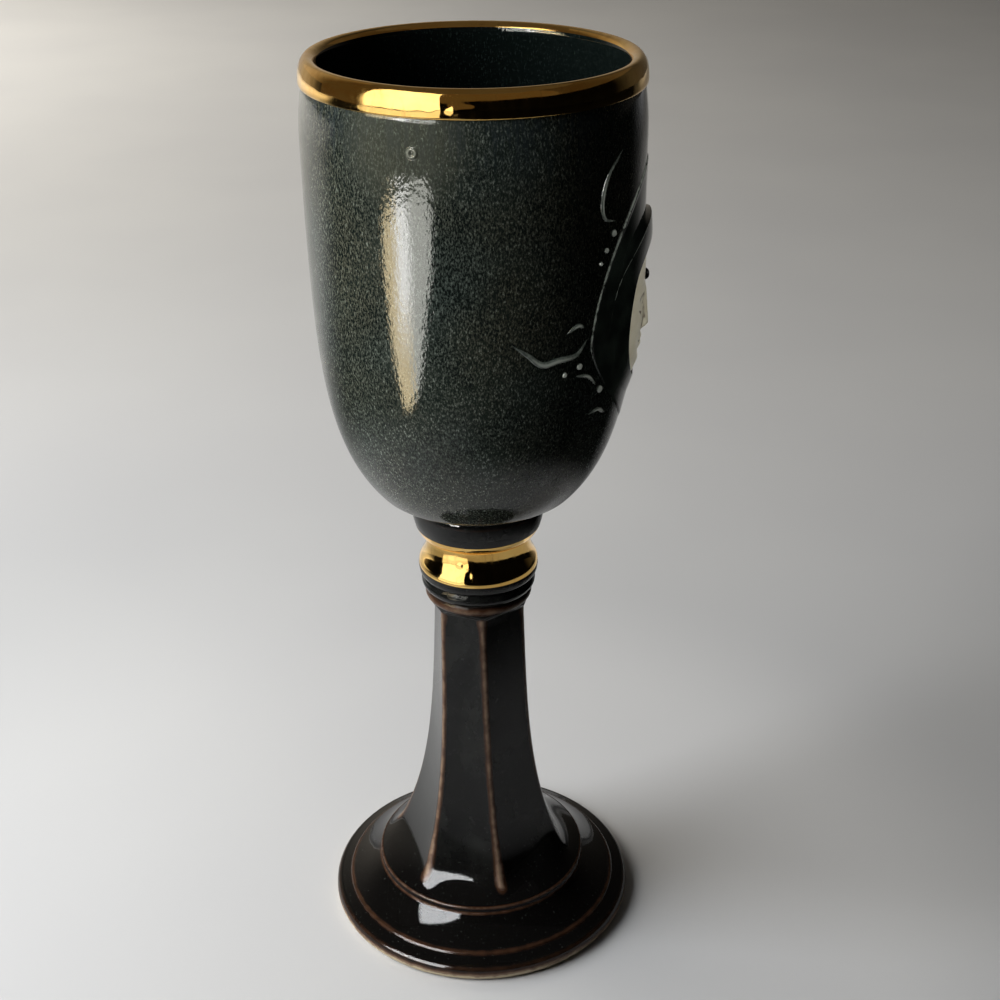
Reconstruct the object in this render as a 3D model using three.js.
// Ceramic chalice: a thrown cup with a gilt lip, standing on a round collar, a gilt knop,
// a neck ring, a hollow six-sided stem and a ridged foot, with a hooded face in low relief.
// Millimetres, +Z up. The origin is the centre of the foot's resting face; the relief faces +X.
import * as THREE from 'three';

// Heights of the stacked members, from the table up
const FOOT_HEIGHT = 11.6;
const STEM_HEIGHT = 80.7;
const NECK_RING_HEIGHT = 6.6;
const KNOP_HEIGHT = 11.1;
const COLLAR_HEIGHT = 9.8;
const WALL_HEIGHT = 99.4;
const LIP_HEIGHT = 5.8;

// Foot
const FOOT_RADIUS = 39.8;
const FOOT_UNDERCUT = 2.2;
const FOOT_WIDEST_LEVEL = 2.2;
const FOOT_EDGE_HEIGHT = 3.8;
const FOOT_EDGE_ROUND = 0.5;
const FOOT_RIDGE_INSET = 4.4;
const FOOT_RIDGE_HEIGHT = 5.7;
const FOOT_RIDGE_STEP = 0.5;
const FOOT_SLOPE_SAG = 0.5;
const FOOT_THICKNESS = 5.4;
const RESTING_RING_WIDTH = 4.4;
const FOOT_HOLLOW_SPREAD = 5;

// Stem: the radius is that of the six corners, and the corners turn a little on their way up
const STEM_NECK_RADIUS = 12.5;
const STEM_WAIST_RADIUS = 13.35;
const STEM_SKIRT_RADIUS = 24.2;
const STEM_PLATE_RADIUS = 27.4;
const STEM_PLATE_HEIGHT = 1.7;
const STEM_LEDGE_RISE = 1.5;
const STEM_LEDGE_WIDTH = 1;
const STEM_SHOULDER_DROP = 3.4;
const STEM_ARRIS_ROUND = 1.3;
const STEM_WALL = 4.6;
const STEM_CROWN = 6;
const STEM_SIDES = 6;
const STEM_TURN_DEGREES = -12;
const STEM_TWIST_DEGREES = -9;
const HIGH_WAIST_SHARE = 0.38;
const LOW_WAIST_SHARE = 0.72;
const SKIRT_FACETING = 0.6;

// Tenon on the stem's head, which passes through the three rings into the cup
const TENON_RADIUS = 6;
const TENON_REACH = 2.5;
const CLEARANCE = 0.3;

// Neck ring, knop and collar
const NECK_BEAD_HEIGHT = 2.7;
const NECK_BEAD_RADIUS = 13.3;
const NECK_GROOVE_RADIUS = 12.9;
const NECK_RING_RADIUS = 14.15;
const KNOP_BASE_RADIUS = 13.4;
const KNOP_RADIUS = 14.75;
const KNOP_WIDEST_RISE = 3;
const KNOP_SHOULDER_RISE = 5.4;
const KNOP_TOP_RADIUS = 12.65;
const COLLAR_SHOULDER_RADIUS = 15.6;
const COLLAR_RADIUS = 16.5;
const COLLAR_EDGE_ROUND = 0.5;

// Cup
const BELLY_RADIUS = 37.9;
const CUP_ROOT_DROP = 6.5;
const CUP_FULLNESS = 18.6;
const CUP_ROUNDNESS = 1.83;
const CUP_SEAT_MARGIN = 1.5;
const CUP_HEEL_WIDTH = 5.2;
const CUP_HEEL_RISE = 1.1;
const CUP_HEEL_HEIGHT = 4.2;
const TUCK_DEPTH = 1;
const TUCK_HEIGHT = 11.2;
const CUP_WALL = 3.7;
const FLOOR_THICKNESS = 4.4;
const HOLLOW_FULLNESS = 13;

// Gilt lip
const LIP_ROUND = 2.1;
const LIP_OVERHANG = 0.72;
const LIP_NECK_HEIGHT = 1.6;
const LIP_NECK_DEPTH = 0.5;

// Relief: its reach on the cup, and the half-widths and heights of its three ovals
const RELIEF_DROP = 15.2;
const RELIEF_RISE = 20.8;
const RELIEF_CENTRE_SHARE = 0.44;
const MANTLE_HALF_WIDTH = 29;
const MANTLE_FIELD_HEIGHT = 0.25;
const MANTLE_EDGE_RISE = 0.85;
const HOOD_HALF_WIDTH = 23;
const HOOD_DROP = 10;
const HOOD_RISE = 8;
const HOOD_BRIM_HEIGHT = 2.1;
const HOOD_BACK_HEIGHT = 1.15;
const FACE_HALF_WIDTH = 13.5;
const FACE_DROP = 18;
const FACE_RISE = 12.5;
const FACE_HEIGHT = 1.1;
const FACE_EDGE_HEIGHT = 0.85;
const NOSE_HEIGHT = 1;
const NOSE_HALF_WIDTH = 2.4;
const NOSE_HALF_LENGTH = 4.6;
const BEAD_RADIUS = 1.5;
const BEAD_THICKNESS = 0.75;
const BEAD_SHARE = 0.74;

// Powers of the ovals' ends: under 2 makes an end pointed, 2 round and over 2 square
const MANTLE_TOP_POWER = 1.8;
const MANTLE_BASE_POWER = 1.35;
const HOOD_TOP_POWER = 2.3;
const HOOD_BASE_POWER = 1.6;
const FACE_POWER = 2;

// Slip trails: drawn lines and dots of raised slip beside the relief
const TRAIL_HEIGHT = 0.8;
const TRAIL_BLUNTNESS = 0.6;
const DOT_HEIGHT = 0.9;

// Facets round each piece, and steps along its outline
const LARGE_FACETS = 48;
const SMALL_FACETS = 32;
const STEM_FACETS = 36;
const RELIEF_FACETS = 32;
const BEAD_FACETS = 12;
const DOT_FACETS = 8;
const CURVE_STEPS = 5;
const STEM_STEPS = 12;
const STEM_HOLLOW_STEPS = 8;
const CUP_STEPS = 14;
const CUP_STEP_CROWDING = 1.7;
const RELIEF_STEPS = 4;
const FACE_STEPS = 5;
const TRAIL_STEPS_PER_PLACE = 3;

// Levels of the joints, from the table up
const STEM_SEAT = FOOT_HEIGHT;
const NECK_SEAT = STEM_SEAT + STEM_HEIGHT;
const KNOP_SEAT = NECK_SEAT + NECK_RING_HEIGHT;
const COLLAR_SEAT = KNOP_SEAT + KNOP_HEIGHT;
const CUP_SEAT = COLLAR_SEAT + COLLAR_HEIGHT;
const CUP_HEEL_TOP = CUP_SEAT + CUP_HEEL_HEIGHT;
const WALL_TOP = CUP_SEAT + WALL_HEIGHT;
const TENON_TOP = CUP_SEAT + TENON_REACH;
const CUP_FLOOR = TENON_TOP + CLEARANCE + FLOOR_THICKNESS;
const BORE_RADIUS = TENON_RADIUS + CLEARANCE;

const point = (radius, level) => new THREE.Vector2(radius, level);

// Values of f at evenly spaced shares from 0 to 1
const sampled = (steps, f) => Array.from({ length: steps + 1 }, (_, i) => f(i / steps));

const mix = (a, b, share) => a + (b - a) * share;

// Outer or inner outline of the cup: a wall that swells from its root and tucks in at the lip
function cupRadius(level, belly, root, fullness) {
  const swell = 1 - Math.exp(-Math.max(level - root, 0) / fullness);
  const tuck = Math.max(level - WALL_TOP + TUCK_HEIGHT, 0) / TUCK_HEIGHT;
  return belly * swell ** (1 / CUP_ROUNDNESS) - TUCK_DEPTH * tuck ** 2;
}
const outerRadius = (level) => cupRadius(level, BELLY_RADIUS, CUP_SEAT - CUP_ROOT_DROP, CUP_FULLNESS);
const innerRadius = (level) => cupRadius(level, BELLY_RADIUS - CUP_WALL, CUP_FLOOR, HOLLOW_FULLNESS);

// A turned piece from its half outline, which runs up the outside
function turned(outline, facets) {
  const geometry = new THREE.LatheGeometry(outline, facets);
  geometry.rotateX(Math.PI / 2);
  return geometry;
}

// A turned ring: the outline with its first point again at the end
const turnedRing = (outline, facets) => turned([...outline, outline[0]], facets);

// Joins rings of points into one skin. A ring of one point is a pole.
function skin(rings, closed = false) {
  const starts = [];
  const positions = [];
  for (const ring of rings) {
    starts.push(positions.length / 3);
    ring.forEach((p) => positions.push(p.x, p.y, p.z));
  }
  const index = [];
  const bands = closed ? rings.length : rings.length - 1;
  for (let band = 0; band < bands; band += 1) {
    const next = (band + 1) % rings.length;
    const low = rings[band].length;
    const high = rings[next].length;
    const sides = Math.max(low, high);
    for (let i = 0; i < sides; i += 1) {
      const j = (i + 1) % sides;
      const a = starts[band] + (i % low);
      const b = starts[band] + (j % low);
      const c = starts[next] + (j % high);
      const d = starts[next] + (i % high);
      if (low > 1) {
        index.push(a, b, high > 1 ? c : d);
      }
      if (high > 1) {
        index.push(a, c, d);
      }
    }
  }
  const geometry = new THREE.BufferGeometry();
  geometry.setAttribute('position', new THREE.Float32BufferAttribute(positions, 3));
  geometry.setIndex(index);
  geometry.computeVertexNormals();
  return geometry;
}

// Foot: a ridged disc on a resting ring, hollow beneath and open to the stem
function footGeometry(holeRadius) {
  const restOuter = FOOT_RADIUS - FOOT_UNDERCUT;
  const restInner = restOuter - RESTING_RING_WIDTH;
  const ridge = FOOT_RADIUS - FOOT_RIDGE_INSET;
  const ceiling = FOOT_HEIGHT - FOOT_THICKNESS;
  const edge = new THREE.Path();
  edge.moveTo(restOuter, 0);
  edge.quadraticCurveTo(FOOT_RADIUS, 0, FOOT_RADIUS, FOOT_WIDEST_LEVEL);
  edge.quadraticCurveTo(FOOT_RADIUS, FOOT_EDGE_HEIGHT, FOOT_RADIUS - FOOT_EDGE_ROUND, FOOT_EDGE_HEIGHT);
  edge.lineTo(ridge + FOOT_RIDGE_STEP, FOOT_RIDGE_HEIGHT - FOOT_RIDGE_STEP);
  edge.lineTo(ridge, FOOT_RIDGE_HEIGHT);
  edge.quadraticCurveTo(
    (ridge + STEM_PLATE_RADIUS) / 2,
    (FOOT_RIDGE_HEIGHT + FOOT_HEIGHT) / 2 - 2 * FOOT_SLOPE_SAG,
    STEM_PLATE_RADIUS,
    FOOT_HEIGHT,
  );
  return turnedRing([
    point(holeRadius, ceiling),
    point(restInner - FOOT_HOLLOW_SPREAD, ceiling),
    point(restInner, 0),
    ...edge.getPoints(CURVE_STEPS),
    point(holeRadius, FOOT_HEIGHT),
  ], LARGE_FACETS);
}

// Radius of a six-sided section with rounded arrises, at an angle from one corner
function facetedRadius(corner, angle) {
  const half = Math.PI / STEM_SIDES;
  const off = Math.abs(angle - 2 * half * Math.round(angle / (2 * half)));
  const flat = corner * Math.cos(half);
  const round = Math.min(STEM_ARRIS_ROUND, flat / 2);
  const centre = (flat - round) / Math.cos(half);
  const tangent = Math.atan2(flat * Math.tan(half) - round * Math.tan(half), flat);
  if (half - off < tangent) {
    return flat / Math.cos(half - off);
  }
  return centre * Math.cos(off) + Math.sqrt(round ** 2 - (centre * Math.sin(off)) ** 2);
}

// Corner line of the stem, from the neck down to the skirt
const stemTop = NECK_SEAT - STEM_SHOULDER_DROP;
const stemFoot = STEM_SEAT + STEM_PLATE_HEIGHT + STEM_LEDGE_RISE;
const cornerLine = new THREE.CubicBezierCurve(
  point(STEM_NECK_RADIUS, stemTop),
  point(STEM_WAIST_RADIUS, mix(stemTop, stemFoot, HIGH_WAIST_SHARE)),
  point(STEM_WAIST_RADIUS, mix(stemTop, stemFoot, LOW_WAIST_SHARE)),
  point(STEM_SKIRT_RADIUS, stemFoot),
);
const hollowRadius = (corner) => corner * Math.cos(Math.PI / STEM_SIDES) - STEM_WALL;
const stemHole = hollowRadius(STEM_SKIRT_RADIUS);

// A ring round the axis, part round and part six-sided, turned with the twist of the stem
function stemRing(corner, level, faceting) {
  const climb = THREE.MathUtils.clamp((level - stemFoot) / (stemTop - stemFoot), 0, 1);
  const turn = THREE.MathUtils.degToRad(STEM_TURN_DEGREES + STEM_TWIST_DEGREES * climb);
  return Array.from({ length: STEM_FACETS }, (_, i) => {
    const angle = (i / STEM_FACETS) * 2 * Math.PI;
    const radius = mix(corner, facetedRadius(corner, angle), faceting);
    return new THREE.Vector3(radius * Math.cos(angle + turn), radius * Math.sin(angle + turn), level);
  });
}
const roundRing = (radius, level) => stemRing(radius, level, 0);
const pole = (level) => [new THREE.Vector3(0, 0, level)];

// Stem: six flats that fade into a round neck and plate, hollow from below, with the tenon on top
function stemGeometry() {
  const plateTop = STEM_SEAT + STEM_PLATE_HEIGHT;
  const hollowTop = NECK_SEAT - STEM_CROWN;
  const hollow = sampled(STEM_HOLLOW_STEPS, (share) => cornerLine.getPoint(share));
  const faces = sampled(STEM_STEPS, (share) => cornerLine.getPoint(1 - share));
  return skin([
    pole(hollowTop),
    ...hollow.filter((p) => p.y < hollowTop).map((p) => roundRing(hollowRadius(p.x), p.y)),
    roundRing(stemHole, STEM_SEAT),
    roundRing(STEM_PLATE_RADIUS, STEM_SEAT),
    roundRing(STEM_PLATE_RADIUS, plateTop),
    roundRing(STEM_SKIRT_RADIUS + STEM_LEDGE_WIDTH, (plateTop + stemFoot) / 2),
    ...faces.map((p, i) => stemRing(p.x, p.y, i === 0 ? SKIRT_FACETING : 1)),
    roundRing(STEM_NECK_RADIUS, NECK_SEAT),
    roundRing(TENON_RADIUS, NECK_SEAT),
    roundRing(TENON_RADIUS, TENON_TOP),
    pole(TENON_TOP),
  ]);
}

// Carries an outline on to a radius and level by a bead whose middle stands at its own radius
function addBead(path, beadRadius, radius, level) {
  const from = path.currentPoint.clone();
  path.quadraticCurveTo(2 * beadRadius - (from.x + radius) / 2, (from.y + level) / 2, radius, level);
}

// A turned ring with this side outline, bored for the tenon
function boredRing(side) {
  const outline = side.getPoints(CURVE_STEPS);
  return turnedRing([
    point(BORE_RADIUS, outline[0].y),
    ...outline,
    point(BORE_RADIUS, outline[outline.length - 1].y),
  ], SMALL_FACETS);
}

// Neck ring: a small bead under a larger one
function neckRingGeometry() {
  const side = new THREE.Path();
  side.moveTo(STEM_NECK_RADIUS, NECK_SEAT);
  addBead(side, NECK_BEAD_RADIUS, NECK_GROOVE_RADIUS, NECK_SEAT + NECK_BEAD_HEIGHT);
  addBead(side, NECK_RING_RADIUS, KNOP_BASE_RADIUS, KNOP_SEAT);
  return boredRing(side);
}

// Knop: a full bead that draws in to a neck under the collar
function knopGeometry() {
  const shoulder = KNOP_SEAT + KNOP_SHOULDER_RISE;
  const side = new THREE.Path();
  side.moveTo(KNOP_BASE_RADIUS, KNOP_SEAT);
  side.quadraticCurveTo(KNOP_RADIUS, KNOP_SEAT, KNOP_RADIUS, KNOP_SEAT + KNOP_WIDEST_RISE);
  side.bezierCurveTo(KNOP_RADIUS, shoulder, KNOP_TOP_RADIUS, shoulder, KNOP_TOP_RADIUS, COLLAR_SEAT);
  return boredRing(side);
}

// Collar: a rounded ring with a flat top that carries the cup
function collarGeometry() {
  const side = new THREE.Path();
  side.moveTo(KNOP_TOP_RADIUS, COLLAR_SEAT);
  side.quadraticCurveTo(COLLAR_SHOULDER_RADIUS, COLLAR_SEAT, COLLAR_RADIUS, CUP_SEAT - COLLAR_EDGE_ROUND);
  side.lineTo(COLLAR_RADIUS - COLLAR_EDGE_ROUND, CUP_SEAT);
  return boredRing(side);
}

// Cup: a thrown wall on a rounded heel and a thick floor, with a socket for the tenon beneath
function cupGeometry() {
  const rise = (share) => mix(CUP_HEEL_TOP, WALL_TOP, share ** CUP_STEP_CROWDING);
  const fall = (share) => mix(CUP_FLOOR, WALL_TOP, (1 - share) ** CUP_STEP_CROWDING);
  const socketTop = TENON_TOP + CLEARANCE;
  const seatRadius = COLLAR_RADIUS - CUP_SEAT_MARGIN;
  const heel = new THREE.QuadraticBezierCurve(
    point(seatRadius, CUP_SEAT),
    point(seatRadius + CUP_HEEL_WIDTH, CUP_SEAT + CUP_HEEL_RISE),
    point(outerRadius(CUP_HEEL_TOP), CUP_HEEL_TOP),
  );
  return turned([
    point(0, socketTop),
    point(BORE_RADIUS, socketTop),
    point(BORE_RADIUS, CUP_SEAT),
    ...heel.getPoints(CURVE_STEPS).slice(0, -1),
    ...sampled(CUP_STEPS, (share) => point(outerRadius(rise(share)), rise(share))),
    ...sampled(CUP_STEPS, (share) => point(innerRadius(fall(share)), fall(share))),
  ], LARGE_FACETS);
}

// Gilt lip: a rounded coil on the wall's top, with a slight neck beneath it
function lipGeometry() {
  const outside = outerRadius(WALL_TOP);
  const inside = innerRadius(WALL_TOP);
  const bead = outside + LIP_OVERHANG - LIP_ROUND;
  const round = WALL_TOP + LIP_HEIGHT - LIP_ROUND;
  const side = new THREE.Path();
  side.moveTo(outside, WALL_TOP);
  side.lineTo(outside - LIP_NECK_DEPTH, WALL_TOP + LIP_NECK_HEIGHT);
  side.absarc(bead, round, LIP_ROUND, -Math.PI / 4, Math.PI, false);
  return turnedRing([
    ...side.getPoints(CURVE_STEPS),
    point(inside, WALL_TOP + LIP_NECK_HEIGHT),
    point(inside, WALL_TOP),
  ], LARGE_FACETS);
}

// The relief is drawn on the cup's wall: across runs round the belly, level is the height
const reliefTop = WALL_TOP - RELIEF_DROP;
const reliefBase = CUP_SEAT + RELIEF_RISE;
const reliefCentre = mix(reliefBase, reliefTop, RELIEF_CENTRE_SHARE);

function onWall(across, level, lift) {
  const angle = across / BELLY_RADIUS;
  const radius = outerRadius(level) + CLEARANCE + lift;
  return new THREE.Vector3(radius * Math.cos(angle), radius * Math.sin(angle), level);
}

// An oval about the relief's centre, with its own power above and below
function oval(halfWidth, top, base, topPower, basePower) {
  return (angle) => {
    const above = Math.sin(angle) > 0;
    const reach = above ? top - reliefCentre : reliefCentre - base;
    const power = above ? topPower : basePower;
    const root = (value) => Math.sign(value) * Math.abs(value) ** (2 / power);
    return point(halfWidth * root(Math.cos(angle)), reliefCentre + reach * root(Math.sin(angle)));
  };
}
const hoodTop = reliefTop - HOOD_DROP;
const hoodBase = reliefBase + HOOD_RISE;
const faceTop = reliefTop - FACE_DROP;
const faceBase = reliefBase + FACE_RISE;
const mantleOval = oval(MANTLE_HALF_WIDTH, reliefTop, reliefBase, MANTLE_TOP_POWER, MANTLE_BASE_POWER);
const hoodOval = (gap) => (
  oval(HOOD_HALF_WIDTH + gap, hoodTop + gap, hoodBase - gap, HOOD_TOP_POWER, HOOD_BASE_POWER)
);
const faceOval = (gap) => (
  oval(FACE_HALF_WIDTH + gap, faceTop + gap, faceBase - gap, FACE_POWER, FACE_POWER)
);

// A ring of the relief, at a share of the way from an inner oval to an outer one
function reliefRing(inner, outer, share, lift) {
  return Array.from({ length: RELIEF_FACETS }, (_, i) => {
    const angle = (i / RELIEF_FACETS) * 2 * Math.PI;
    const place = inner(angle).lerp(outer(angle), share);
    return onWall(place.x, place.y, lift(share, place));
  });
}
const flush = () => 0;

// A band of relief between two ovals, resting on the wall
function reliefBand(inner, outer, lift) {
  return skin([
    ...sampled(RELIEF_STEPS, (share) => reliefRing(inner, outer, share, flush)),
    ...sampled(RELIEF_STEPS, (share) => reliefRing(inner, outer, 1 - share, lift)),
  ], true);
}

// Mantle: a pointed field with a raised edge at the rim and at the hood
function mantleGeometry() {
  const lift = (share) => MANTLE_FIELD_HEIGHT + MANTLE_EDGE_RISE * Math.cos(Math.PI * share) ** 2;
  return reliefBand(hoodOval(CLEARANCE), mantleOval, lift);
}

// Hood: a thick band that rises to its brim round the face
function hoodGeometry() {
  const lift = (share) => mix(HOOD_BRIM_HEIGHT, HOOD_BACK_HEIGHT, share ** 2);
  return reliefBand(faceOval(CLEARANCE), hoodOval(0), lift);
}

// Height of the face: a smooth mask, lower at its edge, with a plain nose
function faceLift(share, place) {
  const off = place.y - (faceTop + faceBase) / 2;
  const nose = Math.exp(-((place.x / NOSE_HALF_WIDTH) ** 2) - (off / NOSE_HALF_LENGTH) ** 2);
  return mix(FACE_HEIGHT, FACE_EDGE_HEIGHT, share ** 4) + NOSE_HEIGHT * nose;
}

function faceGeometry() {
  const centre = () => point(0, reliefCentre);
  const edge = faceOval(0);
  const shares = sampled(FACE_STEPS, (share) => share).slice(1);
  return skin([
    [onWall(0, reliefCentre, 0)],
    ...shares.map((share) => reliefRing(centre, edge, share, flush)),
    ...shares.toReversed().map((share) => reliefRing(centre, edge, share, faceLift)),
    [onWall(0, reliefCentre, faceLift(0, centre()))],
  ]);
}

// Bead on the brow of the face
function browBeadGeometry() {
  const level = mix(faceBase, faceTop, BEAD_SHARE);
  const share = (level - reliefCentre) / (faceTop - reliefCentre);
  const seat = faceLift(share, point(0, level)) + CLEARANCE;
  const centre = onWall(0, level, seat + BEAD_THICKNESS / 2);
  const geometry = new THREE.SphereGeometry(BEAD_RADIUS, BEAD_FACETS, BEAD_FACETS / 2);
  geometry.scale(BEAD_THICKNESS / 2 / BEAD_RADIUS, 1, 1);
  geometry.translate(centre.x, centre.y, centre.z);
  return geometry;
}

// Half-width of the mantle at a level, nothing above its top and below its base
function mantleEdge(level) {
  const above = level > reliefCentre;
  const reach = above ? reliefTop - reliefCentre : reliefCentre - reliefBase;
  const power = above ? MANTLE_TOP_POWER : MANTLE_BASE_POWER;
  const off = Math.min(Math.abs(level - reliefCentre) / reach, 1);
  return MANTLE_HALF_WIDTH * (1 - off ** power) ** (1 / power);
}

// Places beside the relief: the distance from the mantle's edge, and the share of the relief's height
function decorPlace([distance, share], side) {
  const level = mix(reliefBase, reliefTop, share);
  return new THREE.Vector3((mantleEdge(level) + distance) * side, level, 0);
}

// A drawn line of slip that tapers to both ends; its section is a low arch
function trailGeometry(places, width, side) {
  const line = new THREE.CatmullRomCurve3(places.map((place) => decorPlace(place, side)));
  const arch = sampled(RELIEF_STEPS, (share) => share * Math.PI);
  const section = (share) => {
    const at = line.getPoint(share);
    const along = line.getTangent(share);
    const fat = Math.sin(Math.PI * share) ** TRAIL_BLUNTNESS;
    return arch.map((angle) => {
      const reach = (Math.cos(angle) * fat * width) / 2;
      const lift = Math.sin(angle) * fat * TRAIL_HEIGHT;
      return onWall(at.x - along.y * reach, at.y + along.x * reach, lift);
    });
  };
  const tip = (share) => [onWall(line.getPoint(share).x, line.getPoint(share).y, 0)];
  const middle = sampled(TRAIL_STEPS_PER_PLACE * places.length, (share) => share).slice(1, -1);
  return skin([tip(0), ...middle.map(section), tip(1)]);
}

// A domed dot of slip
function dotGeometry(place, radius, side) {
  const centre = decorPlace(place, side);
  const ring = (climb) => Array.from({ length: DOT_FACETS }, (_, i) => {
    const angle = (i / DOT_FACETS) * 2 * Math.PI;
    const reach = radius * Math.cos(climb);
    const across = centre.x + reach * Math.cos(angle);
    return onWall(across, centre.y + reach * Math.sin(angle), DOT_HEIGHT * Math.sin(climb));
  });
  return skin([
    [onWall(centre.x, centre.y, 0)],
    ring(0),
    ring(Math.PI / 4),
    [onWall(centre.x, centre.y, DOT_HEIGHT)],
  ]);
}

// Slip lines and dots on one side of the relief
const TRAILS = {
  crescent: { width: 1.5, places: [[21.8, 1.06], [25.8, 1.02], [16.1, 0.94], [10.2, 0.88], [5.3, 0.86]] },
  dash: { width: 1.3, places: [[2.6, 0.52], [4.7, 0.535], [7.2, 0.515]] },
  wave: {
    width: 2,
    places: [[1.2, 0.475], [4.2, 0.43], [8.9, 0.425], [13, 0.42], [16, 0.46], [19.6, 0.5]],
  },
  hook: { width: 1.3, places: [[6.3, 0.35], [3.3, 0.335], [2.3, 0.29]] },
  stroke: { width: 1.4, places: [[9.9, 0.18], [6.2, 0.185], [5, 0.155]] },
};
const DOTS = [
  { radius: 1, place: [3.4, 0.82] },
  { radius: 0.85, place: [3.4, 0.77] },
  { radius: 0.7, place: [3.5, 0.73] },
  { radius: 1, place: [4.3, 0.383] },
  { radius: 0.9, place: [8.9, 0.366] },
  { radius: 1, place: [1.9, 0.265] },
];

const finish = (color, roughness, metalness) => () => (
  new THREE.MeshStandardMaterial({ color, roughness, metalness })
);
const cupGlaze = finish('#1d2421', 0.12, 0);
const stemGlaze = finish('#17120f', 0.15, 0);
const goldLustre = finish('#c8962e', 0.12, 1);
const reliefGlaze = finish('#0e1110', 0.15, 0);
const ivoryGlaze = finish('#b9ad90', 0.3, 0);
const slipGlaze = finish('#5d625c', 0.2, 0);

const chalice = new THREE.Group();
function place(name, geometry, material) {
  const mesh = new THREE.Mesh(geometry, material());
  mesh.name = name;
  chalice.add(mesh);
}

place('foot', footGeometry(stemHole), stemGlaze);
place('stem', stemGeometry(), stemGlaze);
place('neck_ring', neckRingGeometry(), stemGlaze);
place('knop', knopGeometry(), goldLustre);
place('cup_collar', collarGeometry(), stemGlaze);
place('cup', cupGeometry(), cupGlaze);
place('gilt_lip', lipGeometry(), goldLustre);
place('relief_mantle', mantleGeometry(), reliefGlaze);
place('relief_hood', hoodGeometry(), reliefGlaze);
place('relief_face', faceGeometry(), ivoryGlaze);
place('brow_bead', browBeadGeometry(), reliefGlaze);
for (const [hand, side] of [['left', -1], ['right', 1]]) {
  for (const [name, trail] of Object.entries(TRAILS)) {
    place(`slip_${name}_${hand}`, trailGeometry(trail.places, trail.width, side), slipGlaze);
  }
  DOTS.forEach((dot, i) => {
    place(`slip_dot_${i + 1}_${hand}`, dotGeometry(dot.place, dot.radius, side), slipGlaze);
  });
}

export default chalice;
